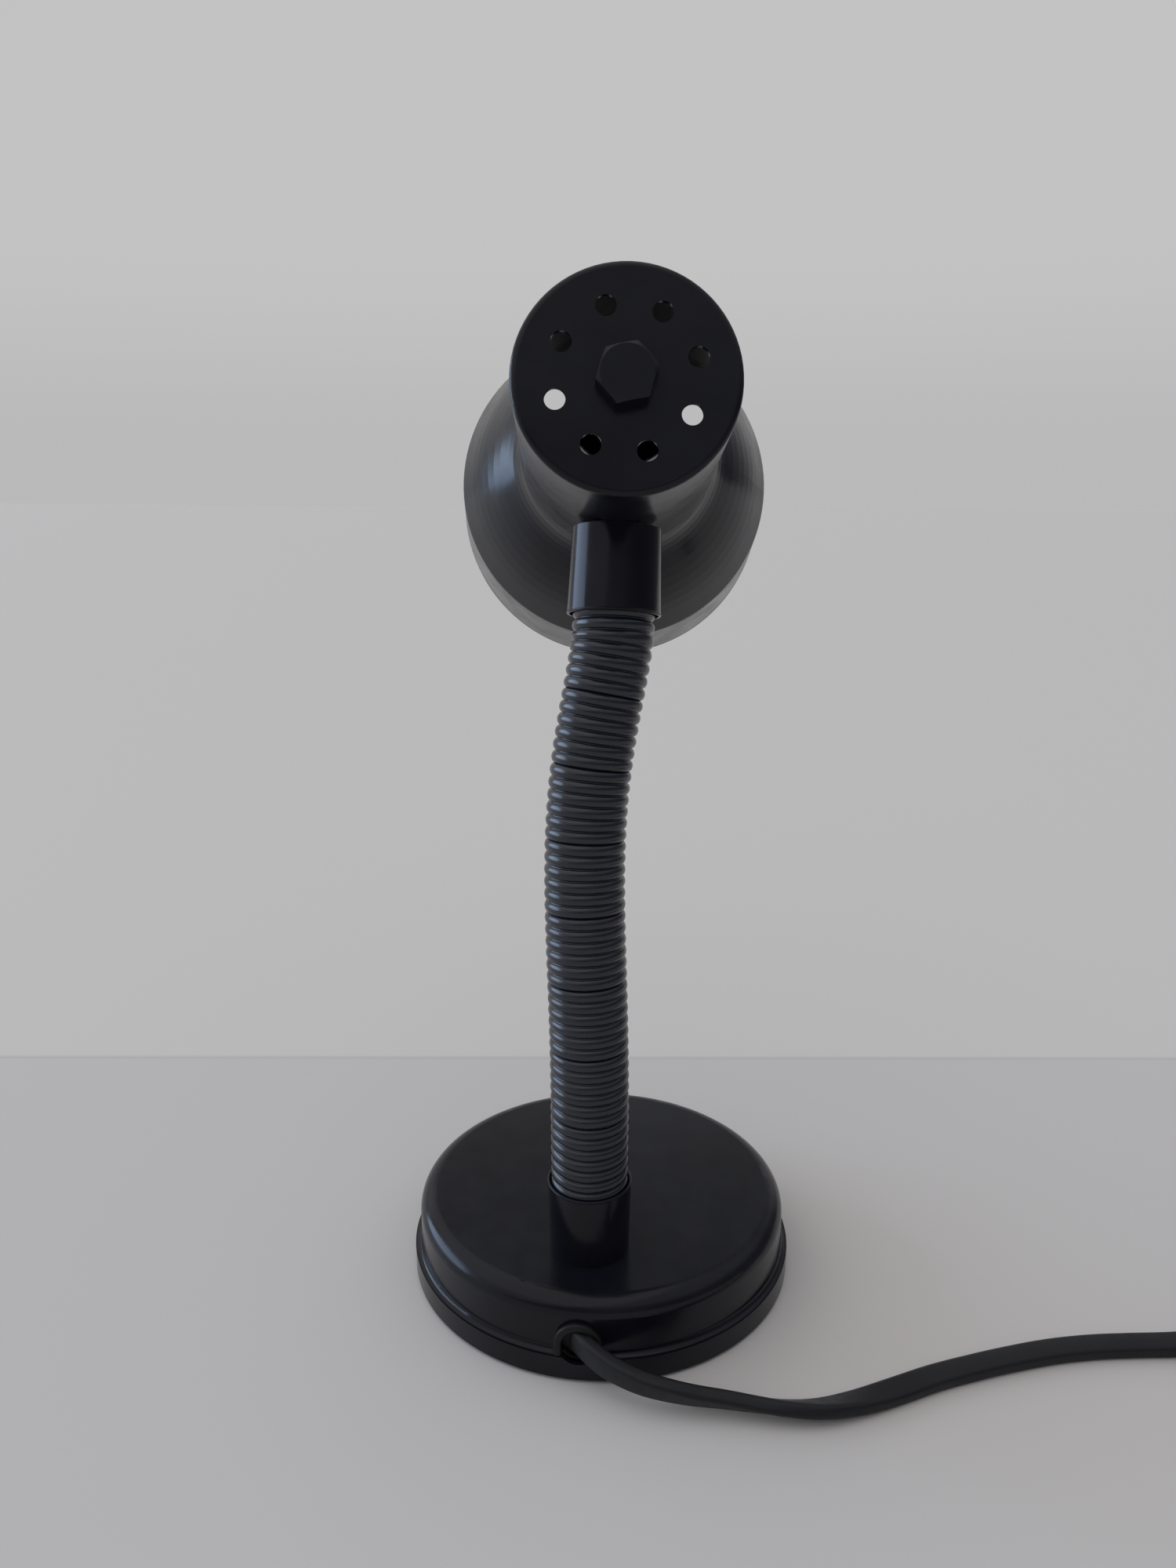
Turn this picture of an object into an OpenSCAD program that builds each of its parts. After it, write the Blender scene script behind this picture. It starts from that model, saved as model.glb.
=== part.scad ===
// Gooseneck desk lamp: weighted round base, ribbed flexible neck, spun shade with a small
// screw-cap bulb, and a flat mains lead with an in-line rocker switch and a two-pin plug.
// Millimetres. The origin is the middle of the base on the table, +Z is up,
// the lamp looks towards +Y and its lead leaves the back of the base towards -Y.

/* [Base] */
// Radius of the rim at the foot of the base
base_r = 58; // [50:0.5:70]
// Height of the base, from the table to its flat top
base_h = 24; // [22:0.5:32]
// Height of the rim band, from the table
rim_h = 7.6; // [5:0.1:8.5]
// How far the wall stands back from the rim
rim_step = 2; // [1:0.1:3]
// Radius of the rounded edge of the base top
base_edge = 5; // [2:0.5:7]
// Thickness of the pressed steel cover
cover_t = 1.2; // [0.8:0.1:1.6]
// Thickness of the foam pad under the base
pad_t = 2.4; // [1.6:0.1:3]
// Height of the rim's lower edge above the table
rim_lift = 1; // [0.5:0.1:1.4]
// Thickness of the bottom plate
plate_t = 1; // [0.8:0.1:1.5]
// Thickness of the cast ballast, without its bosses
weight_t = 10.6; // [7:0.1:12]

/* [Neck] */
// Distance of the neck from the edge of the base, on the lead's side
neck_inset = 27.4; // [25:0.1:36]
// Height from the top of the base to where the neck meets the shade
neck_rise = 199.7; // [180:0.1:240]
// How far the neck leans forward at its top
neck_reach = 25.1; // [10:0.1:40]
// How far the neck leans sideways at its top
neck_side = 3.9; // [-10:0.1:10]
// How far the middle of the neck sways to the other side
neck_sway = 4.7; // [0:0.1:8]
// Outside diameter of the ribbed sleeve over its crests
sleeve_d = 21.9; // [20:0.1:24]
// Depth of the grooves between two ribs
rib_depth = 1; // [0.5:0.1:1.4]
// Spacing of the ribs
rib_pitch = 3.2; // [2.8:0.1:4]
// Bore of the ribbed sleeve
sleeve_bore = 15.2; // [14.6:0.1:16.5]
// Diameter of the metal core inside the sleeve
core_d = 13; // [12:0.1:13.4]
// Diameter of the balls that the core's lengths turn on
ball_d = 10.4; // [9.6:0.1:10.6]
// Bore through the core for the wires
wire_bore = 4.8; // [4:0.1:5]

/* [Collars] */
// Length of the collar on the base
collar_l = 21.4; // [18:0.1:26]
// Length of the collar under the shade
head_collar_l = 22.4; // [18:0.1:26]
// Wide end of the collar on the base
foot_wide_d = 23.6; // [23.3:0.1:25]
// Narrow end of the collar on the base
foot_narrow_d = 22.6; // [22:0.1:24]
// Wide end of the collar under the shade
head_wide_d = 24.7; // [23.5:0.1:26]
// Narrow end of the collar under the shade
head_narrow_d = 23.5; // [23.3:0.1:25]
// Wall of the collars
collar_t = 0.6; // [0.4:0.1:0.6]

/* [Shade] */
// Radius of the can at the back of the shade
can_r = 27.2; // [25:0.1:30]
// Length of the can, to the middle of its hollow flare
can_l = 66.2; // [62:0.1:70]
// Radius of the dome where its slope eases
dome_r = 39.3; // [37:0.1:41]
// Distance of that part of the dome from the back of the shade
dome_s = 84.1; // [80:0.1:88]
// Radius of the edge between dome and skirt
shoulder_r = 48.1; // [46:0.1:50]
// Distance of that edge from the back of the shade
shoulder_s = 106; // [102:0.1:112]
// Radius of the open mouth
mouth_r = 50.4; // [49:0.1:54]
// Length of the shade from its back to its mouth
shade_l = 137; // [130:0.1:150]
// Wall of the spun shade
shade_t = 1; // [0.8:0.1:1.2]
// Radius of the rounded edge round the back of the shade
back_edge = 1.5; // [1.2:0.1:4]
// Distance of the neck from the back of the shade
neck_s = 38.7; // [34:0.1:42]
// Dip of the shade below the horizontal, in degrees
shade_dip = 14.4; // [0:0.1:25]
// Turn of the shade about the vertical, in degrees
shade_turn = 7.3; // [-15:0.1:15]
// Roll of the shade about its own axis, in degrees
shade_roll = 2.2; // [-5:0.1:5]
// Number of cooling holes in the back
vents = 8; // [6:1:10]
// Diameter of each cooling hole
vent_d = 5; // [3:0.1:6]
// Radius of the ring of cooling holes
vent_ring = 17.3; // [15:0.1:19]

/* [Lampholder and bulb] */
// Outside diameter of the lampholder
holder_d = 28; // [26:0.1:30]
// Distance of the lampholder from the back of the shade
holder_s = 20; // [17:0.1:22]
// Length of the lampholder
holder_l = 55; // [53:0.1:58]
// Diameter of the round bulb
bulb_d = 45; // [40:0.5:45]
// Length of the bulb with its cap
bulb_l = 78; // [76:0.5:80]
// Width across flats of the bolt in the back of the shade
bolt_af = 13; // [10:0.5:13]

/* [Mains lead] */
// Width of the flat lead
lead_w = 7; // [6:0.1:7.4]
// Thickness of the flat lead
lead_t = 3.9; // [3.4:0.1:4]
// Turns of the coiled lead
coil_turns = 5.25; // [4.25:1:7.25]
// Radius of the innermost turn of the coiled lead
coil_r = 35.9; // [30:0.1:40]
// Gap between two turns of the coiled lead
coil_gap = 0.7; // [0.6:0.1:1]
// Length of the in-line switch
switch_l = 58; // [52:1:64]
// Width of the in-line switch
switch_w = 23; // [20:0.5:28]
// Height of the in-line switch
switch_h = 15; // [14:0.5:20]
// Throw of the rocker, in degrees
rocker_throw = 14; // [10:1:16]
// Diameter of the two plug pins
pin_d = 4; // [3.8:0.1:4.8]
// Length of the two plug pins
pin_l = 19; // [17:0.5:20]
// Distance between the two plug pins
pin_gap = 19; // [17.5:0.1:19]

/* [Hidden] */
$fn = 64;

// Colours, as [red, green, blue]
BLACK_PAINT = [0.10, 0.10, 0.11];
NECK_GREY = [0.20, 0.22, 0.25];
LEAD_GREY = [0.17, 0.17, 0.18];
STEEL = [0.66, 0.66, 0.68];
BRASS = [0.80, 0.66, 0.36];
PLASTIC = [0.07, 0.07, 0.08];
OPAL = [0.95, 0.94, 0.90];
CERAMIC = [0.88, 0.86, 0.80];

// Clearances
eps = 0.01;
loose = 0.2; // round a screw or a nipple in its hole
snug = 0.1; // between two pieces that seat in each other
ball_gap = 0.3; // between a ball and its cup
pin_play = 0.05; // round a running pin, on the radius

// ---------------------------------------------------------------- vectors and outlines
function unit(v) = v / norm(v);
function smooth(x) = let (c = min(1, max(0, x))) c * c * (3 - 2 * c);
function turn_z(v, a) = [v.x * cos(a) - v.y * sin(a), v.x * sin(a) + v.y * cos(a), v.z];
function turn_x(v, a) = [v.x, v.y * cos(a) - v.z * sin(a), v.y * sin(a) + v.z * cos(a)];
function turn_y(v, a) = [v.x * cos(a) + v.z * sin(a), v.y, v.z * cos(a) - v.x * sin(a)];

// A corner at p between a and b, rounded to radius r with n steps
function round_corner(a, p, b, r, n) =
    let (
        u = unit(a - p),
        v = unit(b - p),
        half = acos(min(1, max(-1, u * v))) / 2,
        middle = p + unit(u + v) * r / sin(half),
        from = p + u * r / tan(half) - middle,
        to = p + v * r / tan(half) - middle,
        a0 = atan2(from.y, from.x),
        swing = atan2(from.x * to.y - from.y * to.x, from * to)
    )
    [for (i = [0:n]) middle + r * [cos(a0 + swing * i / n), sin(a0 + swing * i / n)]];

// An outline of corners [x, y, radius], where a radius of 0 keeps the corner sharp
function rounded(path, n = 6) = [
    for (i = [0:len(path) - 1])
        let (p = path[i], q = [p.x, p.y])
        if (p[2] == 0 || i == 0 || i == len(path) - 1) q
        else each round_corner([path[i - 1].x, path[i - 1].y], q, [path[i + 1].x, path[i + 1].y], p[2], n)
];

// A closed outline of corners [x, y, radius]
function rounded_loop(path, n = 6) =
    let (m = len(path))
    [
        for (i = [0:m - 1])
            let (p = path[i], a = path[(i + m - 1) % m], b = path[(i + 1) % m])
            if (p[2] == 0) [p.x, p.y]
            else each round_corner([a.x, a.y], [p.x, p.y], [b.x, b.y], p[2], n)
    ];

// The point where the lines p-q and r-s meet
function crossing(p, q, r, s) =
    let (d = q - p, e = s - r, k = ((r.x - p.x) * e.y - (r.y - p.y) * e.x) / (d.x * e.y - d.y * e.x))
    p + d * k;

// The same open path moved t to its left, with its corner radii kept concentric
function moved_left(path, t) =
    let (
        m = len(path),
        left = [
            for (i = [0:m - 2])
                let (d = unit([path[i + 1].x - path[i].x, path[i + 1].y - path[i].y])) t * [-d.y, d.x]
        ]
    )
    [
        for (i = [0:m - 1])
            let (
                p = [path[i].x, path[i].y],
                before = i == 0 ? undef : [path[i - 1].x, path[i - 1].y],
                after = i == m - 1 ? undef : [path[i + 1].x, path[i + 1].y],
                q = i == 0 ? p + left[0]
                    : i == m - 1 ? p + left[m - 2]
                    : crossing(before + left[i - 1], p + left[i - 1], p + left[i], after + left[i]),
                side = i == 0 || i == m - 1 ? 0
                    : sign((p.x - before.x) * (after.y - p.y) - (p.y - before.y) * (after.x - p.x))
            )
            [q.x, q.y, path[i][2] == 0 ? 0 : path[i][2] - side * t]
    ];

// ---------------------------------------------------------------- swept solids
// Triangles between rings of n points each. A closed sweep joins its last ring to its first.
function side_faces(n, m, closed = false) = [
    for (k = [0:m - (closed ? 1 : 2)])
        for (i = [0:n - 1])
            let (
                a = k * n + i,
                b = k * n + (i + 1) % n,
                c = ((k + 1) % m) * n + i,
                d = ((k + 1) % m) * n + (i + 1) % n
            )
            each [[a, c, b], [b, c, d]]
];
function end_faces(n, m) = concat(
    [for (i = [1:n - 2]) [0, i, i + 1]],
    [for (i = [1:n - 2]) let (z = (m - 1) * n) [z, z + i + 1, z + i]]
);

module swept(rings) {
    n = len(rings[0]);
    m = len(rings);
    polyhedron([for (ring = rings) each ring], concat(side_faces(n, m), end_faces(n, m)), convexity = 8);
}

module swept_ring(rings) {
    n = len(rings[0]);
    m = len(rings);
    polyhedron([for (ring = rings) each ring], side_faces(n, m, true), convexity = 8);
}

// Puts children, drawn along +Z, at point p along direction d
module along(p, d) {
    translate(p)
        rotate([0, acos(d.z / norm(d)), atan2(d.y, d.x)])
            children();
}

// ---------------------------------------------------------------- derived sizes of the base
wall_r = base_r - rim_step;
step_fillet = 1.8;
plate_z = pad_t;
weight_z = base_h - cover_t - weight_t;
weight_r = wall_r - cover_t - base_edge;
boss_r = 5.5;
boss_ring = weight_r - 10;
boss_angles = [90, 210, 330];
screw_r = 2;
screw_head_r = 3.8;
screw_l = 10;
nipple_r = 5;
neck_back = base_r - neck_inset;
foot = [0, -neck_back, base_h];
washer_t = 1.2;
washer_r = 10;
nut_af = 17;
nut_h = 4;
flange_r = 8.6;
flange_t = 2.4;
web_t = 0.8; // floor of a collar, clamped under a ferrule's flange

// Opening for the grommet, in the back wall of the base
port_r = 5.4;
port_z = 11.2;
port_floor = rim_h + 0.1;
port_depth = 7; // how far the grommet reaches in behind the wall
lip_r = 6.7;
lip_out = 1.6; // how far the grommet's lip stands out of the wall
lip_round = 0.8;

// ---------------------------------------------------------------- the neck's middle line
collar_end = [0, neck_reach, neck_rise] + foot + [neck_side, 0, 0];
head_up = turn_z(turn_x(turn_y([0, 0, 1], shade_roll), -shade_dip), shade_turn);
head_out = turn_z(turn_x([0, 1, 0], -shade_dip), shade_turn);
shade_at = collar_end + head_up * can_r - head_out * neck_s;
straight_l = 22; // straight stretch at each end of the sleeve, one sleeve diameter
neck_pull = 45; // reach of the curve's handles
sleeve_foot = web_t + flange_t + snug;
sleeve_head = 4.4; // from the can's wall to the end of the sleeve
curve_a = foot + [0, 0, sleeve_foot + straight_l];
curve_d = collar_end - head_up * (sleeve_head + straight_l);
curve_b = curve_a + [0, 0, neck_pull];
curve_c = curve_d - head_up * neck_pull;
curve_steps = 60;
function curve_at(t) =
    curve_a * pow(1 - t, 3) + curve_b * 3 * pow(1 - t, 2) * t + curve_c * 3 * (1 - t) * t * t
    + curve_d * pow(t, 3) - [neck_sway * pow(sin(180 * pow(t, 1.6)), 1.5), 0, 0];
neck_line = concat(
    [foot + [0, 0, sleeve_foot]],
    [for (i = [0:curve_steps]) curve_at(i / curve_steps)],
    [collar_end - head_up * sleeve_head]
);
function run_lengths(p, i = 0, s = 0) =
    i == len(p) - 1 ? [s] : concat([s], run_lengths(p, i + 1, s + norm(p[i + 1] - p[i])));
neck_s_at = run_lengths(neck_line);
neck_l = neck_s_at[len(neck_s_at) - 1];
neck_x = [for (i = [0:len(neck_line) - 1]) [neck_s_at[i], neck_line[i].x]];
neck_y = [for (i = [0:len(neck_line) - 1]) [neck_s_at[i], neck_line[i].y]];
neck_z = [for (i = [0:len(neck_line) - 1]) [neck_s_at[i], neck_line[i].z]];
function on_neck(s) = [lookup(s, neck_x), lookup(s, neck_y), lookup(s, neck_z)];
function neck_way(s) = unit(on_neck(min(neck_l, s + 2)) - on_neck(max(0, s - 2)));

// The core's eight ball joints, evenly spaced between the two collars
joints = 8;
joint_end = 10; // from a collar's mouth to the nearest joint
first_joint = collar_l - sleeve_foot + joint_end;
last_joint = neck_l - (head_collar_l - sleeve_head) - joint_end;
joint_pitch = (last_joint - first_joint) / (joints - 1);
joint_at = [for (i = [0:joints - 1]) on_neck(first_joint + i * joint_pitch)];
echo(joint_at = joint_at);
echo(neck_l = neck_l, joint_pitch = joint_pitch, shade_at = shade_at, head_out = head_out, head_up = head_up);
ball_r = ball_d / 2;
cup_lip = 1.5; // how far a cup reaches past the middle of its ball
shoulder_gap = 4.2; // from the middle of a ball back to the shoulder under it
stem_r = 3.5;

// ---------------------------------------------------------------- derived sizes of the head
module in_head() {
    translate(shade_at)
        rotate([0, 0, shade_turn])
            rotate([-shade_dip, 0, 0])
                rotate([0, shade_roll, 0])
                    children();
}
// Draws children along the shade's axis, from its back towards its mouth
module on_axis(s = 0) {
    in_head() rotate([-90, 0, 0]) translate([0, 0, s]) children();
}
vent_phase = 18.4;
bolt_phase = 13.7;
bolt_r = 4;
bolt_head = 5;
holder_bolt_l = holder_s + 7;
saddle_t = 2.2;
shade_path = [
    [0, 0, 0], [can_r, 0, back_edge], [can_r, can_l, 25], [dome_r, dome_s, 120],
    [shoulder_r, shoulder_s, 4], [mouth_r, shade_l, 0]
];
hem_r = 0.8;
holder_r = holder_d / 2;
holder_wall = 2;
cap_l = 17; // length of the lampholder's domed cap
holder_end = holder_s + holder_l;
shell_r = 8.8;
thread_r = 7;
bulb_seat = 25; // how deep the bulb sits in the lampholder
bulb_foot = holder_end - bulb_seat;
bulb_tip = bulb_foot + bulb_l;
bulb_r = bulb_d / 2;
bulb_mid = bulb_tip - bulb_r;
glass_t = 0.8;
neck_glass_r = 7.4;
bulb_cap_l = 25;

// ---------------------------------------------------------------- derived sizes of the lead
lead_outline = [
    [0.5, -0.333], [0.5, 0.333], [0.205, 0.5], [-0.205, 0.5],
    [-0.5, 0.333], [-0.5, -0.333], [-0.205, -0.5], [0.205, -0.5]
];
// The lead's section at p, heading along t, with its wide side turned up by roll degrees
function lead_ring(p, t, roll) =
    let (
        n = unit(cross(t, [0, 0, 1])),
        b = cross(n, t),
        wide = n * cos(roll) + b * sin(roll),
        thin = b * cos(roll) - n * sin(roll)
    )
    [for (c = lead_outline) p + thin * c.x * lead_t + wide * c.y * lead_w];
function lead_rings(route) =
    let (m = len(route), q = [for (r = route) [r[0], r[1], r[2]]])
    [
        for (i = [0:m - 1])
            lead_ring(q[i], unit(q[min(m - 1, i + 1)] - q[max(0, i - 1)]), route[i][3])
    ];

lead_heading = 9.5; // of the lead where it leaves the lamp, in degrees from +X
switch_at = [216, -17, 0];
switch_entry = 6; // height of the lead in the switch and its ends
function switch_end(side) =
    switch_at + side * switch_l / 2 * [cos(lead_heading), sin(lead_heading), 0] + [0, 0, switch_entry];
coil_at = [283.5, 42.5, 0];
coil_from = -80; // where the coil starts, in degrees
coil_steps = 24;
coil_pitch = lead_t + coil_gap;
coil_out = coil_r + coil_pitch * coil_turns / 2;
coil_low = lead_w / 2;
coil_high = coil_low + lead_w + 0.5;
// Radius and height of the coiled lead after u turns: in on the lower layer, out on the upper one.
// The half turn in the middle dips inwards while it climbs.
function coil_radius(u) =
    let (v = abs(u - coil_turns / 2))
    coil_r + coil_pitch * v - 2 * (1 - smooth((v - 0.14) / 0.17));
function coil_height(u) = coil_low + (coil_high - coil_low) * smooth((u - coil_turns / 2) * 3 + 0.5);
function coil_point(u) =
    coil_at + [
        coil_radius(u) * cos(coil_from + 360 * u),
        coil_radius(u) * sin(coil_from + 360 * u),
        coil_height(u)
    ];
coil_rings_n = round(coil_turns * coil_steps);
function coil_way(u) = unit(coil_point(min(coil_turns, u + 0.01)) - coil_point(max(0, u - 0.01)));
// The gap between turns at one bearing, across or up, whichever is more
coil_gaps = [
    for (i = [0:coil_rings_n])
        for (k = [1:floor(coil_turns)])
            let (j = i + k * coil_steps)
            if (j <= coil_rings_n)
                let (u = i / coil_steps, w = j / coil_steps)
                max(
                    abs(coil_radius(u) - coil_radius(w)) - lead_t,
                    abs(coil_height(u) - coil_height(w)) - lead_w
                )
];
echo(least_coil_gap = min(coil_gaps));

// Routes of the free lead, as [x, y, z, roll]
route_to_switch = [
    [0.5, -56.2, 12, 90], [4, -59.2, 11.2, 88], [9.5, -62.2, 9.7, 84], [17, -64.4, 8.2, 77],
    [24.5, -65, 6.9, 68], [32, -64.6, 5.6, 60], [40, -64, 4.7, 53], [48, -63.9, 4, 46],
    [56, -63.9, 3.7, 38], [65, -62.4, 3.2, 25], [75, -58.4, 2.7, 6], [85, -53, 2.4, -8],
    [96, -46.6, 2.1, -3], [107, -41.4, 2, 0], [118, -36.8, 2, 0], [130, -32.4, 2, 0],
    [142, -29.2, 2, 0], [153, -27.2, 2, 0], [164, -25.6, 2.1, 0], [171, -24.5, 2.7, 0],
    [177, -23.5, 4.4, 0], [182.5, -22.6, 5.8, 0]
];
route_from_switch = [
    [249.5, -11.4, 5.8, 0], [255, -10.5, 4.6, 20], [261, -9.5, 4, 45],
    [268, -8.3, 3.7, 70], [276, -7.1, 3.5, 86]
];
route_to_plug = [
    [330.2, 58, 11, 90], [328, 69, 10.6, 90], [323.5, 80.5, 9.2, 86], [316.5, 90.5, 7.2, 74],
    [307.5, 98.5, 5.4, 50], [299, 103, 5.8, 22]
];
plug_at = [290.5, 105, 6.8]; // where the lead enters the plug, which points to -X
plug_boot = 20;
plug_l = 34;
plug_w = 26;
plug_h = 13.6;

function length_of(p) = run_lengths(p)[len(p) - 1];
function points_of(route) = [for (r = route) [r[0], r[1], r[2]]];
echo(lead_length =
    length_of(concat(points_of(route_to_switch), [switch_end(-1)]))
    + switch_l
    + length_of(concat([switch_end(1)], points_of(route_from_switch), [coil_point(0)]))
    + length_of([for (i = [0:coil_rings_n]) coil_point(i / coil_steps)])
    + length_of(concat([coil_point(coil_turns)], points_of(route_to_plug), [plug_at]))
);

// ---------------------------------------------------------------- base
// Half section of the cover's outside, or of its inside when t is the cover's thickness
module cover_section(t) {
    top = base_h - t;
    r = wall_r - t;
    edge = base_edge - t;
    square([r - edge, top]);
    square([r, top - edge]);
    translate([r - edge, top - edge]) circle(edge);
    square([base_r - t, rim_h - t / 3]);
    // Hollow fillet where the rim steps in to the wall
    difference() {
        square([r + step_fillet, rim_h - t / 3 + step_fillet]);
        translate([r + step_fillet, rim_h - t / 3 + step_fillet]) circle(step_fillet);
    }
}

// The grommet's opening in section, grown by g
module port_shape(g) {
    translate([0, port_z]) circle(port_r + g);
    translate([-port_r - g, port_floor - g]) square([2 * (port_r + g), port_z - port_floor + g]);
}

module base_cover() {
    color(BLACK_PAINT) difference() {
        rotate_extrude($fn = 128) difference() {
            cover_section(0);
            cover_section(cover_t);
            square([base_r + 1, rim_lift]);
        }
        translate([0, -neck_back, base_h - cover_t - 1]) cylinder(r = nipple_r + loose, h = cover_t + 2);
        translate([0, -wall_r + 6, 0]) rotate([90, 0, 0]) linear_extrude(12) port_shape(0);
    }
}

module base_weight() {
    color(STEEL) difference() {
        union() {
            translate([0, 0, weight_z]) cylinder(r = weight_r, h = weight_t, $fn = 128);
            for (a = boss_angles)
                rotate(a) translate([boss_ring, 0, plate_z + plate_t])
                    cylinder(r = boss_r, h = weight_z - plate_z - plate_t + 1);
        }
        translate([0, -neck_back, 0]) cylinder(r = nipple_r + loose, h = base_h);
        // Room for the lead behind the neck
        translate([-6, -weight_r - 1, 0]) cube([12, weight_r + 1 - neck_back - nut_af / 2 - 3, port_z + port_r + 1]);
        for (a = boss_angles)
            rotate(a) translate([boss_ring, 0, 0]) cylinder(r = screw_r, h = plate_z + screw_l + 1);
    }
}

module base_plate() {
    color(STEEL) difference() {
        translate([0, 0, plate_z]) cylinder(r = base_r - cover_t - 0.4, h = plate_t, $fn = 128);
        for (a = boss_angles)
            rotate(a) translate([boss_ring, 0, 0]) cylinder(r = screw_r + loose, h = plate_z + plate_t + 1);
    }
}

module base_pad() {
    color(PLASTIC) difference() {
        cylinder(r = base_r - cover_t - 2, h = pad_t, $fn = 128);
        for (a = boss_angles)
            rotate(a) translate([boss_ring, 0, -1]) cylinder(r = screw_head_r + 0.5, h = pad_t + 2);
    }
}

module plate_screws() {
    color(STEEL) for (a = boss_angles)
        rotate(a) translate([boss_ring, 0, 0]) {
            translate([0, 0, plate_z - 1.8]) cylinder(r = screw_head_r, h = 1.8, $fn = 32);
            translate([0, 0, plate_z - 1]) cylinder(r = screw_r - 0.02, h = screw_l, $fn = 32);
        }
}

// The grommet: a plug in the wall's opening, with a rounded lip over its arch and a deep mouth
module cord_grommet() {
    mouth_r = port_r - 1;
    lead_from = [route_to_switch[0].x, route_to_switch[0].y, route_to_switch[0].z];
    lead_to = [route_to_switch[1].x, route_to_switch[1].y, route_to_switch[1].z];
    color(PLASTIC) difference() {
        union() {
            translate([0, port_depth - wall_r, 0]) rotate([90, 0, 0]) linear_extrude(port_depth + snug)
                port_shape(-snug);
            translate([0, -wall_r - snug / 2, port_z]) rotate([90, 0, 0]) rotate_extrude(angle = 180)
                lip_section(mouth_r);
            for (side = [0, 1])
                mirror([side, 0, 0]) translate([0, -wall_r - snug / 2, rim_h + 0.3])
                    linear_extrude(port_z - rim_h - 0.3) mirror([0, 1, 0]) lip_section(mouth_r);
        }
        // Mouth, which stops short behind the lead's end
        translate([0, -wall_r + 1.2, 0]) rotate([90, 0, 0]) linear_extrude(10) port_shape(mouth_r - port_r);
    }
}

// Half section of the grommet's lip, out from the wall along +Y
module lip_section(r) {
    translate([r, 0]) square([lip_r - r, lip_out - lip_round]);
    translate([r + lip_round, 0]) square([lip_r - r - 2 * lip_round, lip_out]);
    for (x = [r + lip_round, lip_r - lip_round])
        translate([x, lip_out - lip_round]) circle(lip_round, $fn = 24);
}

// ---------------------------------------------------------------- foot of the neck
// A washer, or a hexagon nut, with a hole for the nipple
module ring_plate(r, h) {
    difference() {
        cylinder(r = r, h = h);
        translate([0, 0, -1]) cylinder(r = nipple_r + loose, h = h + 2);
    }
}
module hex_nut(af, h) {
    difference() {
        cylinder(r = af / 2 / cos(30), h = h, $fn = 6);
        translate([0, 0, -1]) cylinder(r = nipple_r + snug / 2, h = h + 2);
    }
}

module foot_ferrule() {
    top = joint_at[0].z - base_h;
    below = cover_t + weight_t + washer_t + nut_h + 1;
    color(STEEL) translate(foot) difference() {
        union() {
            translate([0, 0, -below]) cylinder(r = nipple_r, h = below + web_t + 1);
            translate([0, 0, web_t]) cylinder(r = flange_r, h = flange_t);
            translate([0, 0, web_t]) cylinder(r = core_d / 2, h = top - shoulder_gap - web_t);
            translate([0, 0, web_t]) cylinder(r = stem_r, h = top - web_t);
            translate([0, 0, top]) sphere(ball_r);
        }
        translate([0, 0, -below - 1]) cylinder(r = wire_bore / 2, h = below + top + ball_r + 2);
    }
}

module foot_washer() {
    color(STEEL) translate([0, -neck_back, weight_z - washer_t]) ring_plate(washer_r, washer_t);
}

module foot_nut() {
    color(BRASS) translate([0, -neck_back, weight_z - washer_t - nut_h]) hex_nut(nut_af, nut_h);
}

// A thin tapered cup with a hole in its floor, its rim turned over in a small bead
module collar_cup(narrow, wide, l, floor_t) {
    rotate_extrude() difference() {
        union() {
            polygon([[0, 0], [narrow / 2, 0], [wide / 2, l], [0, l]]);
            translate([wide / 2 - collar_t / 2, l - collar_t / 2]) circle(collar_t * 0.7, $fn = 24);
        }
        polygon([
            [-1, floor_t], [narrow / 2 - collar_t, floor_t], [wide / 2 - collar_t, l - collar_t / 2],
            [wide / 2 - collar_t, l + 1], [-1, l + 1]
        ]);
        translate([-2, -1]) square([nipple_r + loose + 2, floor_t + 2]);
    }
}

module foot_collar() {
    color(BLACK_PAINT) translate(foot) collar_cup(foot_narrow_d, foot_wide_d, collar_l, web_t);
}

// ---------------------------------------------------------------- neck
// One length of the core, from joint i to joint i + 1: a cup below and a ball above
module core_length(i) {
    from = joint_at[i];
    way = joint_at[i + 1] - from;
    l = norm(way);
    color(STEEL) along(from, way) difference() {
        union() {
            translate([0, 0, -cup_lip]) cylinder(r = core_d / 2, h = l - shoulder_gap + cup_lip);
            cylinder(r = stem_r, h = l);
            translate([0, 0, l]) sphere(ball_r);
        }
        sphere(ball_r + ball_gap);
        translate([0, 0, -cup_lip - 1]) cylinder(r = wire_bore / 2, h = l + ball_r + cup_lip + 2);
    }
}

// The ribbed sleeve: rounded crests and narrow grooves outside, a plain bore inside
rib_sides = 12;
rib_n = floor(neck_l / rib_pitch);
rib_step = neck_l / rib_n;
crest_r = sleeve_d / 2;
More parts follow.
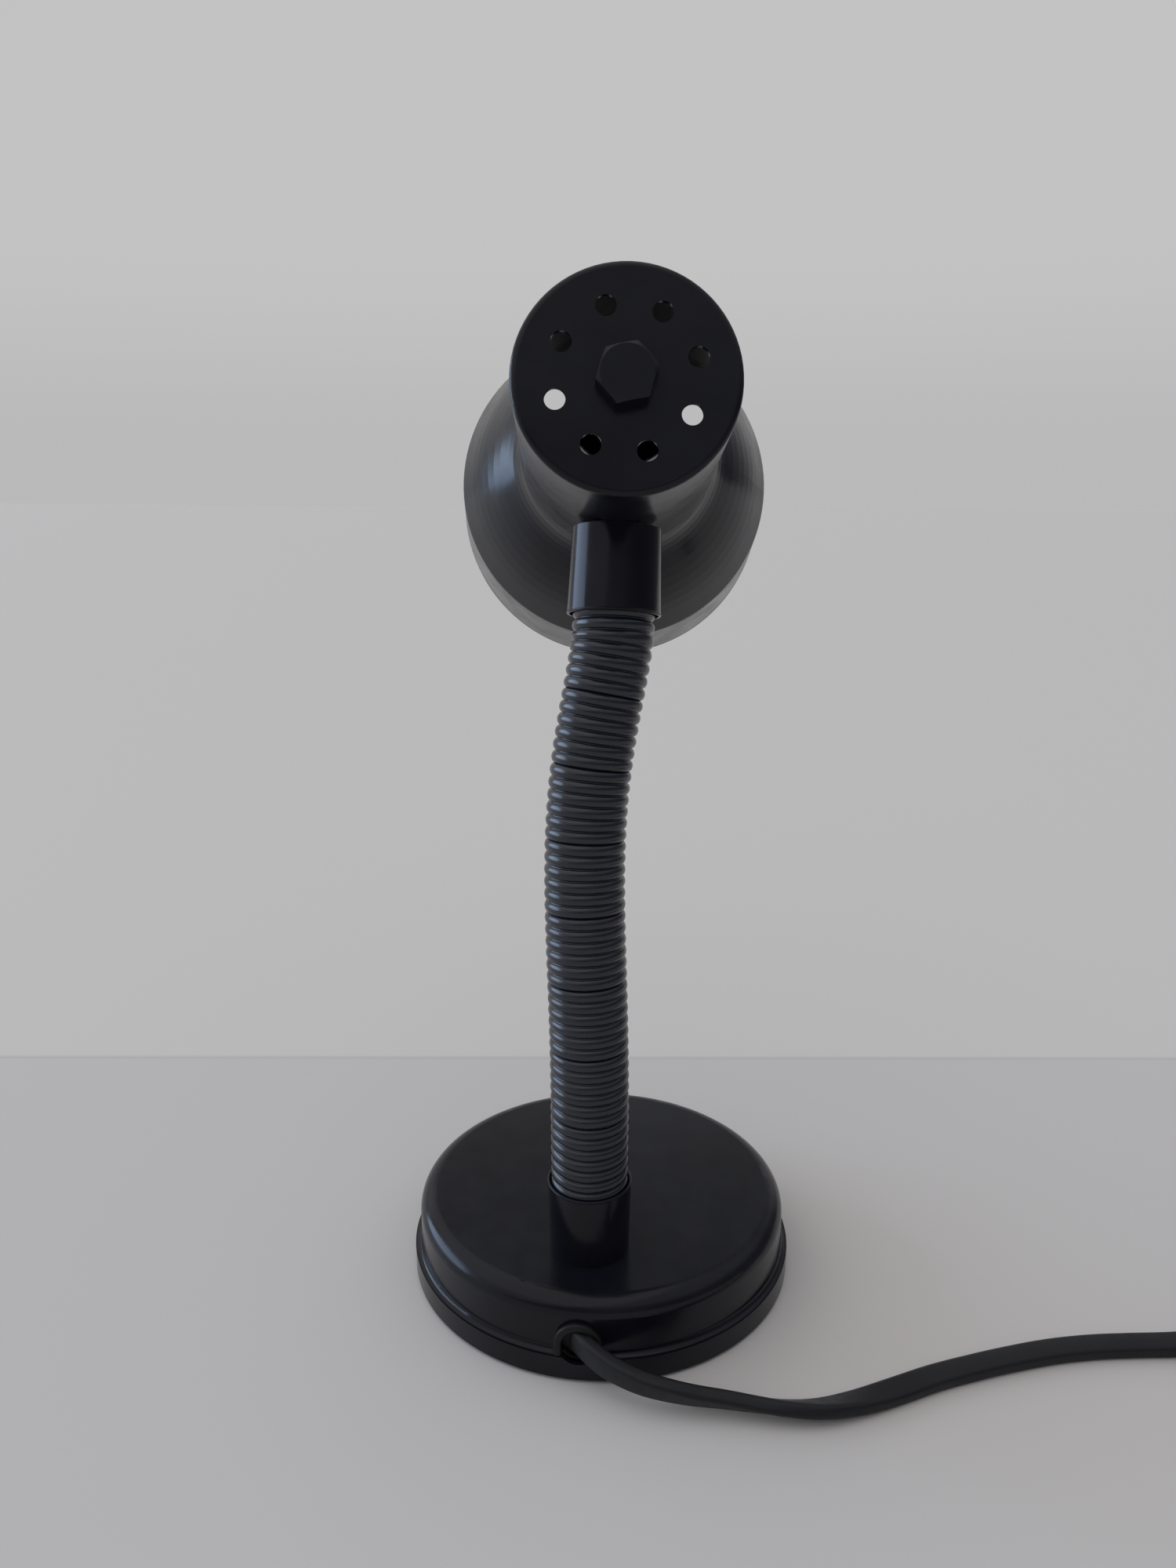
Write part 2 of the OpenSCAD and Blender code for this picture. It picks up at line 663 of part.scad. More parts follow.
// The crests' radius at s, which the two collars hold down a little inside their narrow ends
function crest_at(s) = min(
    crest_r,
    foot_narrow_d / 2 - collar_t - snug + max(0, foot_wide_d - foot_narrow_d) / 2 * (s + sleeve_foot) / collar_l,
    head_narrow_d / 2 - collar_t - snug + max(0, head_wide_d - head_narrow_d) / 2 * (neck_l - s) / head_collar_l
);
function sleeve_circle(s, r) =
    let (p = on_neck(s), t = neck_way(s), e = unit([1, 0, 0] - t * t.x), f = cross(t, e))
    [for (k = [0:rib_sides - 1]) p + r * (e * cos(360 * k / rib_sides) + f * sin(360 * k / rib_sides))];
function sleeve_rings() = concat(
    [
        for (i = [0:rib_n - 1])
            each [
                sleeve_circle(i * rib_step, crest_at(i * rib_step) - rib_depth),
                sleeve_circle((i + 0.28) * rib_step, crest_at(i * rib_step)),
                sleeve_circle((i + 0.72) * rib_step, crest_at((i + 1) * rib_step))
            ]
    ],
    [sleeve_circle(neck_l, crest_at(neck_l) - rib_depth)],
    [for (i = [20:-1:0]) sleeve_circle(neck_l * i / 20, sleeve_bore / 2)]
);

module neck_sleeve() {
    color(NECK_GREY) swept_ring(sleeve_rings());
}

// ---------------------------------------------------------------- top of the neck
module head_ferrule() {
    from = joint_at[joints - 1];
    seat = collar_end - head_up * web_t;
    l = norm(seat - from);
    color(STEEL) difference() {
        union() {
            along(from, seat - from) translate([0, 0, -cup_lip])
                cylinder(r = core_d / 2, h = l - flange_t / 2 + cup_lip);
            along(seat, -head_up) cylinder(r = flange_r, h = flange_t);
            along(seat, head_up) translate([0, 0, -1])
                cylinder(r = nipple_r, h = 1 + web_t + shade_t + saddle_t + nut_h + 1);
        }
        translate(from) sphere(ball_r + ball_gap);
        along(from, seat - from) translate([0, 0, -cup_lip - 1])
            cylinder(r = wire_bore / 2, h = cup_lip + 1 + l);
        along(seat, head_up) translate([0, 0, -flange_t / 2]) cylinder(r = wire_bore / 2 + 0.4, h = 20);
    }
}

// Its straight end meets the round can along a line
module head_collar() {
    color(BLACK_PAINT) along(collar_end, -head_up)
        collar_cup(head_narrow_d, head_wide_d, head_collar_l, web_t);
}

// Washer inside the can, hollowed to its wall on one side and flat on the other
module head_saddle() {
    color(STEEL) intersection() {
        along(collar_end + head_up * (shade_t + saddle_t), -head_up) ring_plate(washer_r - 1, saddle_t);
        on_axis() cylinder(r = can_r - shade_t - snug / 2, h = shade_l, $fn = 128);
    }
}

module head_nut() {
    color(BRASS) along(collar_end + head_up * (shade_t + saddle_t), head_up)
        rotate([0, 0, 30]) hex_nut(nut_af - 3, nut_h);
}

// ---------------------------------------------------------------- shade and lampholder
module shade_wall() {
    outer = rounded(shade_path);
    inner = rounded(moved_left(shade_path, shade_t));
    polygon(concat(outer, [for (i = [len(inner) - 1:-1:0]) inner[i]]));
    translate([mouth_r - hem_r, shade_l - hem_r]) circle(hem_r, $fn = 24);
}

module shade() {
    color(BLACK_PAINT) difference() {
        on_axis() rotate_extrude($fn = 128) shade_wall();
        for (k = [0:vents - 1])
            on_axis(-1) rotate([0, 0, -vent_phase - 360 * k / vents]) translate([vent_ring, 0, 0])
                cylinder(r = vent_d / 2, h = shade_t + 2, $fn = 48);
        on_axis(-1) cylinder(r = bolt_r + loose, h = shade_t + 2);
        along(collar_end, head_up) translate([0, 0, -1]) cylinder(r = nipple_r + loose, h = shade_t + 2);
    }
}

module shade_bolt() {
    corner_r = bolt_af / 2 / cos(30);
    color(BLACK_PAINT) {
        intersection() {
            on_axis(-bolt_head) rotate([0, 0, -bolt_phase]) cylinder(r = corner_r, h = bolt_head, $fn = 6);
            // Chamfer on the corners of the hexagon
            on_axis(-bolt_head) cylinder(r1 = bolt_af / 2 - 0.2, r2 = bolt_af / 2 + bolt_head * 1.6, h = bolt_head);
        }
        on_axis(-1) cylinder(r = bolt_r, h = holder_bolt_l + 1);
    }
}

module holder_spacer() {
    color(STEEL) on_axis(shade_t) difference() {
        cylinder(r = 7, h = holder_s - shade_t);
        translate([0, 0, -1]) cylinder(r = bolt_r + loose, h = holder_s + 2);
    }
}

module holder_nut() {
    color(BRASS) on_axis(holder_s + holder_wall) difference() {
        cylinder(r = bolt_af / 2 / cos(30), h = 4, $fn = 6);
        translate([0, 0, -1]) cylinder(r = bolt_r + snug / 2, h = 6);
    }
}

module holder_cap() {
    path = [[bolt_r + loose, 0, 0], [holder_r, 0, 5], [holder_r, cap_l, 0]];
    outer = rounded(path);
    inner = rounded(moved_left(path, holder_wall));
    color(PLASTIC) on_axis(holder_s) rotate_extrude()
        polygon(concat(outer, [for (i = [len(inner) - 1:-1:0]) inner[i]]));
}

module holder_body() {
    color(PLASTIC) on_axis(holder_s + cap_l) difference() {
        union() {
            cylinder(r = holder_r, h = holder_l - cap_l);
            translate([0, 0, -3]) cylinder(r = holder_r - holder_wall - snug, h = 4);
        }
        translate([0, 0, -4]) cylinder(r = holder_r - 4, h = 13);
        translate([0, 0, 8]) cylinder(r = shell_r + snug, h = holder_l);
        translate([0, 0, holder_l - cap_l - 1.5]) cylinder(r1 = shell_r, r2 = shell_r + 2, h = 1.6);
    }
}

module holder_insert() {
    color(CERAMIC) on_axis(holder_s + cap_l + 2) difference() {
        cylinder(r = holder_r - 4 - snug, h = 7 - snug);
        for (x = [-6, 6])
            translate([x, 0, -1]) cylinder(r = 1.5, h = 5);
    }
}

module holder_contact() {
    color(BRASS) on_axis(holder_s + cap_l + 9 - snug) {
        translate([-2, -3, 0]) cube([4, 8, 0.5]);
        cylinder(r = 1.6, h = bulb_foot - 1.9 - (holder_s + cap_l + 9 - snug));
    }
}

module holder_shell() {
    color(BRASS) on_axis(holder_s + cap_l + 9) difference() {
        cylinder(r = shell_r, h = 22);
        translate([0, 0, -1]) cylinder(r = thread_r + 0.3, h = 24);
    }
}

module bulb_cap() {
    collar_r = neck_glass_r + 0.8;
    color(STEEL) on_axis(bulb_foot) rotate_extrude() difference() {
        polygon(rounded([
            [0, 0, 0], [4, 0, 0], [thread_r, 4, 0.8], [thread_r, 17, 1],
            [collar_r, 20.5, 1], [collar_r, bulb_cap_l, 0], [0, bulb_cap_l, 0]
        ]));
        polygon([
            [-1, 2], [3.4, 2], [thread_r - 0.7, 5.5], [thread_r - 0.7, 17.4],
            [neck_glass_r + snug, 20.9], [neck_glass_r + snug, bulb_cap_l + 1], [-1, bulb_cap_l + 1]
        ]);
    }
}

module bulb_contact() {
    color(BRASS) on_axis(bulb_foot - 1.8) intersection() {
        translate([0, 0, 3]) sphere(3);
        cylinder(r = 3, h = 1.8);
    }
}

// Outline of the glass from the cap to its tip, drawn t inside: a neck, a hollow blend and a ball
function glass_outline(t) =
    let (
        r = bulb_r - t,
        blend_r = 14 + t,
        neck_r = neck_glass_r - t,
        mid = bulb_mid - bulb_foot,
        side = neck_r + blend_r,
        back = sqrt(pow(r + blend_r, 2) - side * side),
        turn = atan2(back, side)
    )
    concat(
        [[neck_r, bulb_cap_l - 3.6]],
        [for (i = [0:8]) [side - blend_r * cos(turn * i / 8), mid - back + blend_r * sin(turn * i / 8)]],
        [for (i = [1:24]) let (a = -turn + (90 + turn) * i / 24) [r * cos(a), mid + r * sin(a)]]
    );

module bulb_globe() {
    inner = glass_outline(glass_t);
    color(OPAL) on_axis(bulb_foot) rotate_extrude($fn = 96)
        polygon(concat(glass_outline(0), [for (i = [len(inner) - 1:-1:0]) inner[i]]));
}

// ---------------------------------------------------------------- mains lead
module lead_to_switch() {
    color(LEAD_GREY) swept(lead_rings(concat(route_to_switch, [concat(switch_end(-1), 0)])));
}

module lead_to_coil() {
    color(LEAD_GREY) swept(lead_rings(concat(
        [concat(switch_end(1), 0)], route_from_switch, [concat(coil_point(0), 90)]
    )));
}

module lead_coil() {
    color(LEAD_GREY) swept([
        for (i = [0:coil_rings_n])
            lead_ring(coil_point(i / coil_steps), coil_way(i / coil_steps), 90)
    ]);
}

module lead_to_plug() {
    color(LEAD_GREY) swept(lead_rings(concat(
        [concat(coil_point(coil_turns), 90)], route_to_plug, [concat(plug_at, 0)]
    )));
}

// ---------------------------------------------------------------- in-line switch
pivot_z = switch_h - 3.2;
pivot_r = 1.2;
rocker_l = 18;
rocker_w = 10;
rocker_gap = 0.5;
switch_seam = 7.2;
switch_wall = 1.6;
switch_end_l = 13; // length at each end that stays solid, for the screws
well_l = rocker_l + 2 * rocker_gap;
well_w = rocker_w + 2 * rocker_gap;

module at_switch() {
    translate(switch_at) rotate([0, 0, lead_heading]) children();
}

// Outline of the switch from above, drawn in at both ends, and g smaller all round
module switch_outline(g) {
    l = switch_l / 2 - g;
    w = switch_w / 2 - g;
    polygon(rounded_loop([
        [-l, -5.5 + g, 1.5], [-l + 14, -w, 6], [l - 14, -w, 6], [l, -5.5 + g, 1.5],
        [l, 5.5 - g, 1.5], [l - 14, w, 6], [-l + 14, w, 6], [-l, 5.5 - g, 1.5]
    ]));
}

// Side view of the switch, which lowers both ends
module switch_side() {
    l = switch_l / 2 + 0.5;
    rotate([90, 0, 0]) translate([0, 0, -switch_w / 2 - 1]) linear_extrude(switch_w + 2)
        polygon(rounded([
            [-l, 0, 0], [-l, 9.5, 0], [-l + 14, switch_h, 8], [l - 14, switch_h, 8], [l, 9.5, 0], [l, 0, 0]
        ]));
}

module switch_lower() {
    color(PLASTIC) at_switch() difference() {
        linear_extrude(switch_seam) switch_outline(0);
        translate([0, 0, switch_wall]) linear_extrude(switch_seam) intersection() {
            switch_outline(switch_wall);
            square([switch_l - 16, switch_w], center = true);
        }
        for (x = [-1, 1])
            translate([x * (switch_l / 2 - 12), -x * 6.5, -1]) cylinder(r = 1.6, h = 3, $fn = 24);
    }
}

module switch_upper() {
    color(PLASTIC) at_switch() difference() {
        intersection() {
            translate([0, 0, switch_seam + 0.1]) linear_extrude(switch_h) switch_outline(0);
            switch_side();
        }
        translate([0, 0, switch_seam - 1]) linear_extrude(pivot_z - switch_seam - pivot_r + 0.2) intersection() {
            switch_outline(switch_wall);
            square([switch_l - 2 * switch_end_l, switch_w], center = true);
        }
        translate([-well_l / 2, -well_w / 2, switch_seam]) cube([well_l, well_w, switch_h]);
        translate([0, switch_w / 2 - 2, pivot_z]) rotate([90, 0, 0])
            cylinder(r = pivot_r + pin_play, h = switch_w - 4, $fn = 32);
    }
}

// The rocker at rest, tipped half its throw towards the lamp
module switch_rocker() {
    color(PLASTIC) at_switch() translate([0, 0, pivot_z]) rotate([0, -rocker_throw / 2, 0]) {
        rotate([90, 0, 0]) translate([0, 0, -rocker_w / 2]) linear_extrude(rocker_w) polygon(rounded([
            [0, -3.4, 0], [rocker_l / 2 - 3, -2.6, 0], [rocker_l / 2 - 0.6, 0.2, 0],
            [rocker_l / 2 - 0.6, 3.6, 1], [0, 2.3, 12], [-rocker_l / 2 + 0.6, 3.6, 1],
            [-rocker_l / 2 + 0.6, 0.2, 0], [-rocker_l / 2 + 3, -2.6, 0]
        ]));
        rotate([90, 0, 0]) translate([0, 0, -rocker_w / 2 - 2]) cylinder(r = pivot_r, h = rocker_w + 4, $fn = 32);
    }
}

module switch_screws() {
    color(STEEL) at_switch() for (x = [-1, 1])
        translate([x * (switch_l / 2 - 12), -x * 6.5, 0.6]) cylinder(r = 1.5, h = 1.4, $fn = 24);
}

// ---------------------------------------------------------------- plug
// The body is moulded in one with its strain relief, whose slots leave it bendable
module plug_body() {
    w = plug_w / 2;
    nose = plug_boot + plug_l;
    side_view = [
        [-1, -3.1, 0], [plug_boot, -4.4, 0], [plug_boot + 9, -plug_h / 2, 5], [nose, -plug_h / 2, 1],
        [nose, plug_h / 2, 1], [plug_boot + 9, plug_h / 2, 5], [plug_boot, 4.4, 0], [-1, 3.1, 0]
    ];
    top_view = [
        [0, -4.6, 0], [plug_boot, -6, 0], [plug_boot + 10, -w, 5], [nose - 4, -w + 1.2, 3], [nose, -w + 3.5, 1],
        [nose, w - 3.5, 1], [nose - 4, w - 1.2, 3], [plug_boot + 10, w, 5], [plug_boot, 6, 0], [0, 4.6, 0]
    ];
    color(PLASTIC) translate(plug_at) rotate([0, 0, 180]) difference() {
        intersection() {
            translate([0, 0, -plug_h / 2]) linear_extrude(plug_h) polygon(rounded_loop(top_view, 4));
            rotate([90, 0, 0]) translate([0, 0, -w - 1]) linear_extrude(plug_w + 2)
                polygon(rounded_loop(side_view, 4));
        }
        for (i = [0:3])
            for (side = [-1, 1])
                translate([3 + 4 * i, side * 6.2 - 3, -plug_h / 2]) cube([1.6, 6, plug_h]);
    }
}

module plug_pins() {
    color(STEEL) translate(plug_at - [plug_boot + plug_l, 0, 0]) for (side = [-1, 1])
        translate([0, side * pin_gap / 2, 0]) rotate([0, -90, 0]) {
            cylinder(r = pin_d / 2, h = pin_l - pin_d / 2, $fn = 48);
            translate([0, 0, pin_l - pin_d / 2]) sphere(pin_d / 2, $fn = 48);
        }
}

base_cover();
base_weight();
base_plate();
base_pad();
plate_screws();
cord_grommet();
foot_ferrule();
foot_washer();
foot_nut();
foot_collar();
neck_sleeve();
core_length(0);  // core_1
core_length(1);  // core_2
core_length(2);  // core_3
core_length(3);  // core_4
core_length(4);  // core_5
core_length(5);  // core_6
core_length(6);  // core_7
head_ferrule();
head_collar();
head_saddle();
head_nut();
shade();
shade_bolt();
holder_spacer();
holder_nut();
holder_cap();
holder_body();
holder_insert();
holder_contact();
holder_shell();
bulb_cap();
bulb_contact();
bulb_globe();
lead_to_switch();
switch_lower();
switch_upper();
switch_rocker();
switch_screws();
lead_to_coil();
lead_coil();
lead_to_plug();
plug_body();
plug_pins();
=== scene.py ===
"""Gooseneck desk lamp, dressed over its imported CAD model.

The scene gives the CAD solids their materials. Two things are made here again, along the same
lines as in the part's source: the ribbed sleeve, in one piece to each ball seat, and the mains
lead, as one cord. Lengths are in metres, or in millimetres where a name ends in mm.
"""

import math

import bmesh
import bpy
from mathutils import Matrix, Vector


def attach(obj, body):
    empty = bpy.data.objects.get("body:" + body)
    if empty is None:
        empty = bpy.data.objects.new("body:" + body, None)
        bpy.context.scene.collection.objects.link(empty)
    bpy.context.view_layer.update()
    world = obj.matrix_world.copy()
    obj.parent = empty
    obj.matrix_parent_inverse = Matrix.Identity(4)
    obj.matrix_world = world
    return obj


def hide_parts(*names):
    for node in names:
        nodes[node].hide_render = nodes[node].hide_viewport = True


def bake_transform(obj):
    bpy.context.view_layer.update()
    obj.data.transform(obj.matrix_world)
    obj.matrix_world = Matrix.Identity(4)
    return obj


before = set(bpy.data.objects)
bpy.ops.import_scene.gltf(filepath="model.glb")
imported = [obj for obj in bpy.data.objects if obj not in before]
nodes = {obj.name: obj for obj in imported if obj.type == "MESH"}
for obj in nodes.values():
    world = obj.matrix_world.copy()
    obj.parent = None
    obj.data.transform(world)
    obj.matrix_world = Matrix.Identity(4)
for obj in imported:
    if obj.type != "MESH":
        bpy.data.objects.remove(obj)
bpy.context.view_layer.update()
MM = 0.001

# ---------------------------------------------------------------- camera
# Worked out from the base, the shade's round back and the table line in the photograph
CAMERA_AT_MM = (34.61, -320.12, 241.54)
CAMERA_RIGHT = Vector((0.9926, 0.1213, 0.0016))
CAMERA_UP = Vector((-0.0338, 0.2638, 0.9640))
CAMERA_LENS_MM = 27.0
CAMERA_SENSOR_MM = 36.0
NEAREST_IN_VIEW_MM = 10


def make_camera():
    """The photograph's camera, which looks down on the lamp from behind its head."""
    data = bpy.data.cameras.new("view")
    data.lens = CAMERA_LENS_MM
    data.sensor_width = CAMERA_SENSOR_MM
    data.clip_start = NEAREST_IN_VIEW_MM * MM
    camera = bpy.data.objects.new("view", data)
    right = CAMERA_RIGHT.normalized()
    back = right.cross(CAMERA_UP).normalized()
    up = back.cross(right)
    turn = Matrix((right, up, back)).transposed()
    camera.matrix_world = Matrix.Translation(Vector(CAMERA_AT_MM) * MM) @ turn.to_4x4()
    bpy.context.scene.collection.objects.link(camera)
    bpy.context.scene.camera = camera


make_camera()


# ---------------------------------------------------------------- small helpers
def smooth(x):
    """An even step from 0 to 1, level at both ends."""
    x = min(1.0, max(0.0, x))
    return x * x * (3 - 2 * x)


def new_object(name, mesh, body=None):
    """Puts a mesh in the scene, on one of the frame's bodies where one is named."""
    piece = bpy.data.objects.new(name, mesh)
    bpy.context.scene.collection.objects.link(piece)
    if body:
        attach(piece, body)
    return piece


def mesh_from(name, points, faces):
    """A smooth-shaded mesh whose faces all look outwards."""
    mesh = bpy.data.meshes.new(name)
    mesh.from_pydata([tuple(p) for p in points], [], faces)
    mesh.validate()
    work = bmesh.new()
    work.from_mesh(mesh)
    bmesh.ops.recalc_face_normals(work, faces=work.faces)
    work.to_mesh(mesh)
    work.free()
    for polygon in mesh.polygons:
        polygon.use_smooth = True
    return mesh


def tube_faces(sides, rings, closed=False):
    """Quads between rings of points, with flat ends or joined last to first."""
    faces = []
    for k in range(rings if closed else rings - 1):
        a, b = k * sides, ((k + 1) % rings) * sides
        for i in range(sides):
            j = (i + 1) % sides
            faces.append((a + i, a + j, b + j, b + i))
    if not closed:
        faces.append(tuple(range(sides - 1, -1, -1)))
        faces.append(tuple(range((rings - 1) * sides, rings * sides)))
    return faces


def spline(points, steps):
    """Catmull-Rom curve through points of any number of values, with steps to each span."""
    ends = [2 * points[0] - points[1]] + list(points) + [2 * points[-1] - points[-2]]
    out = []
    for k in range(1, len(ends) - 2):
        a, b, c, d = ends[k - 1:k + 3]
        for i in range(steps):
            t = i / steps
            out.append(0.5 * (2 * b + (c - a) * t + (2 * a - 5 * b + 4 * c - d) * t * t
                              + (3 * b - a - 3 * c + d) * t * t * t))
    return out + [points[-1].copy()]


# ---------------------------------------------------------------- mains lead
# The lead's section: its width, its thickness and the radius of its edges
LEAD_W_MM = 7.0
LEAD_T_MM = 3.9
LEAD_EDGE_MM = 1.3
LEAD_EDGE_STEPS = 4

# The lead's route, as in the part's source. A point is a place in mm and a roll in degrees, and
# the curve takes ROUTE_STEPS from one to the next
ROUTE_STEPS = 4
ROUTE_TO_SWITCH = [
    (-0.7, -55.2, 12.2, 90), (0.5, -56.2, 12, 90), (4, -59.2, 11.2, 88), (9.5, -62.2, 9.7, 84),
    (17, -64.4, 8.2, 77), (24.5, -65, 6.9, 68), (32, -64.6, 5.6, 60), (40, -64, 4.7, 53),
    (48, -63.9, 4, 46), (56, -63.9, 3.7, 38), (65, -62.4, 3.2, 25), (75, -58.4, 2.7, 6),
    (85, -53, 2.4, -8), (96, -46.6, 2.1, -3), (107, -41.4, 2, 0), (118, -36.8, 2, 0),
    (130, -32.4, 2, 0), (142, -29.2, 2, 0), (153, -27.2, 2, 0), (164, -25.6, 2.1, 0),
    (171, -24.5, 2.7, 0), (177, -23.5, 4.4, 0), (182.5, -22.6, 5.8, 0),
]
ROUTE_FROM_SWITCH = [
    (249.5, -11.4, 5.8, 0), (255, -10.5, 4.6, 20), (261, -9.5, 4, 45), (268, -8.3, 3.7, 70),
    (276, -7.1, 3.5, 86),
]
ROUTE_TO_PLUG = [
    (330.2, 58, 11, 90), (328, 69, 10.6, 90), (323.5, 80.5, 9.2, 86), (316.5, 90.5, 7.2, 74),
    (307.5, 98.5, 5.4, 50), (299, 103, 5.8, 22),
]
SWITCH_AT_MM = (216, -17)
SWITCH_L_MM = 58
SWITCH_ENTRY_MM = 6
SWITCH_HEADING = math.radians(9.5)
PLUG_AT_MM = (290.5, 105, 6.8)

# The piled coil: two layers of flex on edge
ON_EDGE = 90
COIL_AT_MM = (283.5, 42.5)
COIL_FROM = math.radians(-80)
COIL_TURNS = 5.25
COIL_R_MM = 35.9
COIL_GAP_MM = 0.7
COIL_LAYER_GAP_MM = 0.5
COIL_STEPS = 48
# In the middle of the coil the lead climbs to the upper layer, and dips inwards on its way
CLIMBS_PER_TURN = 3
DIP_MM = 2
DIP_TURNS = 0.14
DIP_EASE_TURNS = 0.17


def switch_end(side):
    """Where the lead meets the switch: side is -1 for the lamp's end and 1 for the coil's."""
    reach = side * SWITCH_L_MM / 2
    return (SWITCH_AT_MM[0] + reach * math.cos(SWITCH_HEADING),
            SWITCH_AT_MM[1] + reach * math.sin(SWITCH_HEADING), SWITCH_ENTRY_MM, 0)


def coil_point(u):
    """Place and roll after u turns: in on the lower layer, then out on the upper one."""
    from_middle = u - COIL_TURNS / 2
    v = abs(from_middle)
    dip = DIP_MM * (1 - smooth((v - DIP_TURNS) / DIP_EASE_TURNS))
    r = COIL_R_MM + (LEAD_T_MM + COIL_GAP_MM) * v - dip
    climb = smooth(from_middle * CLIMBS_PER_TURN + 0.5)
    z = LEAD_W_MM / 2 + (LEAD_W_MM + COIL_LAYER_GAP_MM) * climb
    angle = COIL_FROM + 2 * math.pi * u
    return (COIL_AT_MM[0] + r * math.cos(angle), COIL_AT_MM[1] + r * math.sin(angle), z, ON_EDGE)


def lead_path():
    """Points of the whole lead with its roll, in mm and degrees."""
    def stretch(points):
        return spline([Vector(p) for p in points], ROUTE_STEPS)

    rings = round(COIL_TURNS * COIL_STEPS)
    coil = [Vector(coil_point(COIL_TURNS * i / rings)) for i in range(rings + 1)]
    return (stretch(ROUTE_TO_SWITCH + [switch_end(-1)])
            + stretch([switch_end(1)] + ROUTE_FROM_SWITCH + [coil_point(0)])[:-1]
            + coil[:-1]
            + stretch([coil_point(COIL_TURNS)] + ROUTE_TO_PLUG + [PLUG_AT_MM + (0,)]))


def lead_section():
    """Outline of the flat lead, with its rounded edges, as (thin, wide) in mm."""
    a, b = LEAD_T_MM / 2 - LEAD_EDGE_MM, LEAD_W_MM / 2 - LEAD_EDGE_MM
    outline = []
    for k, (x, y) in enumerate(((a, b), (-a, b), (-a, -b), (a, -b))):
        for i in range(LEAD_EDGE_STEPS + 1):
            turn = math.pi * (k + i / LEAD_EDGE_STEPS) / 2
            outline.append((x + LEAD_EDGE_MM * math.cos(turn),
                            y + LEAD_EDGE_MM * math.sin(turn)))
    return outline


def make_lead():
    """The whole mains lead as one cord, in place of the part's four lengths of it."""
    path = lead_path()
    section = lead_section()
    places = [Vector(p[:3]) for p in path]
    points = []
    for i, p in enumerate(places):
        way = (places[min(i + 1, len(places) - 1)] - places[max(i - 1, 0)]).normalized()
        across = way.cross(Vector((0, 0, 1))).normalized()
        up = across.cross(way)
        roll = math.radians(path[i][3])
        wide = across * math.cos(roll) + up * math.sin(roll)
        thin = up * math.cos(roll) - across * math.sin(roll)
        points += [(p + thin * s[0] + wide * s[1]) * MM for s in section]
    mesh = mesh_from("mains_lead", points, tube_faces(len(section), len(places)))
    lead = new_object("mains_lead", mesh, "base")
    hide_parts("lead_to_switch", "lead_to_coil", "lead_coil", "lead_to_plug")
    return lead


lead = make_lead()


# ---------------------------------------------------------------- ribbed sleeve
# Where the neck stands on the base, and how far its top is from there
BASE_R_MM = 58
BASE_H_MM = 24
NECK_INSET_MM = 27.4
NECK_RISE_MM = 199.7
NECK_REACH_MM = 25.1
NECK_SIDE_MM = 3.9
# How the head is held: rolled about its own axis, dipped, then turned about the vertical
HEAD_ROLL = math.radians(2.2)
HEAD_DIP = math.radians(14.4)
HEAD_TURN = math.radians(7.3)

# The neck's middle line: straight at both ends, with one curve between them whose handles reach
# NECK_PULL_MM, and a sway to the left that grows late and fades slowly
STRAIGHT_MM = 22
NECK_PULL_MM = 45
NECK_SWAY_MM = 4.7
SWAY_SKEW = 1.6
SWAY_FALL = 1.5
NECK_STEPS = 60
SLEEVE_FOOT_MM = 3.3
SLEEVE_HEAD_MM = 4.4

# The ball seats, evenly spaced between the mouths of the two collars
SEATS = 8
FOOT_COLLAR_L_MM = 21.4
HEAD_COLLAR_L_MM = 22.4
SEAT_TO_COLLAR_MM = 10

# The sleeve's section
SLEEVE_D_MM = 21.9
SLEEVE_BORE_MM = 15.2
SLEEVE_SIDES = 48
BORE_STEPS = 6
RIB_PITCH_MM = 3.2
RIB_DEPTH_MM = 1.05
# Where the rings of one rib lie, as shares of the pitch from groove to groove
RIB_PHASES = (0.0, 0.05, 0.14, 0.28, 0.5, 0.72, 0.86, 0.95)
# The power of the sine that shapes a rib: under 1 for a full crest and a narrow groove
RIB_FULLNESS = 0.55
# How far the collars hold down the outermost ribs, and over how many ribs that fades
COLLAR_HOLD_MM = 0.3
HELD_RIBS = 6


def neck_line():
    """Points from inside the foot collar to inside the head collar, and the length to each."""
    base_up = Vector((0, 0, 1))
    head_up = (Matrix.Rotation(HEAD_TURN, 3, "Z") @ Matrix.Rotation(-HEAD_DIP, 3, "X")
               @ Matrix.Rotation(HEAD_ROLL, 3, "Y") @ base_up)
    foot = Vector((0, NECK_INSET_MM - BASE_R_MM, BASE_H_MM))
    head = foot + Vector((NECK_SIDE_MM, NECK_REACH_MM, NECK_RISE_MM))
    curve_from = foot + base_up * (SLEEVE_FOOT_MM + STRAIGHT_MM)
    curve_to = head - head_up * (SLEEVE_HEAD_MM + STRAIGHT_MM)
    curve = [curve_from, curve_from + base_up * NECK_PULL_MM,
             curve_to - head_up * NECK_PULL_MM, curve_to]
    line = [foot + base_up * SLEEVE_FOOT_MM]
    for i in range(NECK_STEPS + 1):
        t = i / NECK_STEPS
        weights = ((1 - t) ** 3, 3 * t * (1 - t) ** 2, 3 * t * t * (1 - t), t ** 3)
        place = sum((p * w for p, w in zip(curve, weights)), Vector())
        place.x -= NECK_SWAY_MM * math.sin(math.pi * t ** SWAY_SKEW) ** SWAY_FALL
        line.append(place)
    line.append(head - head_up * SLEEVE_HEAD_MM)
    line = [p * MM for p in line]
    lengths = [0.0]
    for a, b in zip(line, line[1:]):
        lengths.append(lengths[-1] + (b - a).length)
    return line, lengths


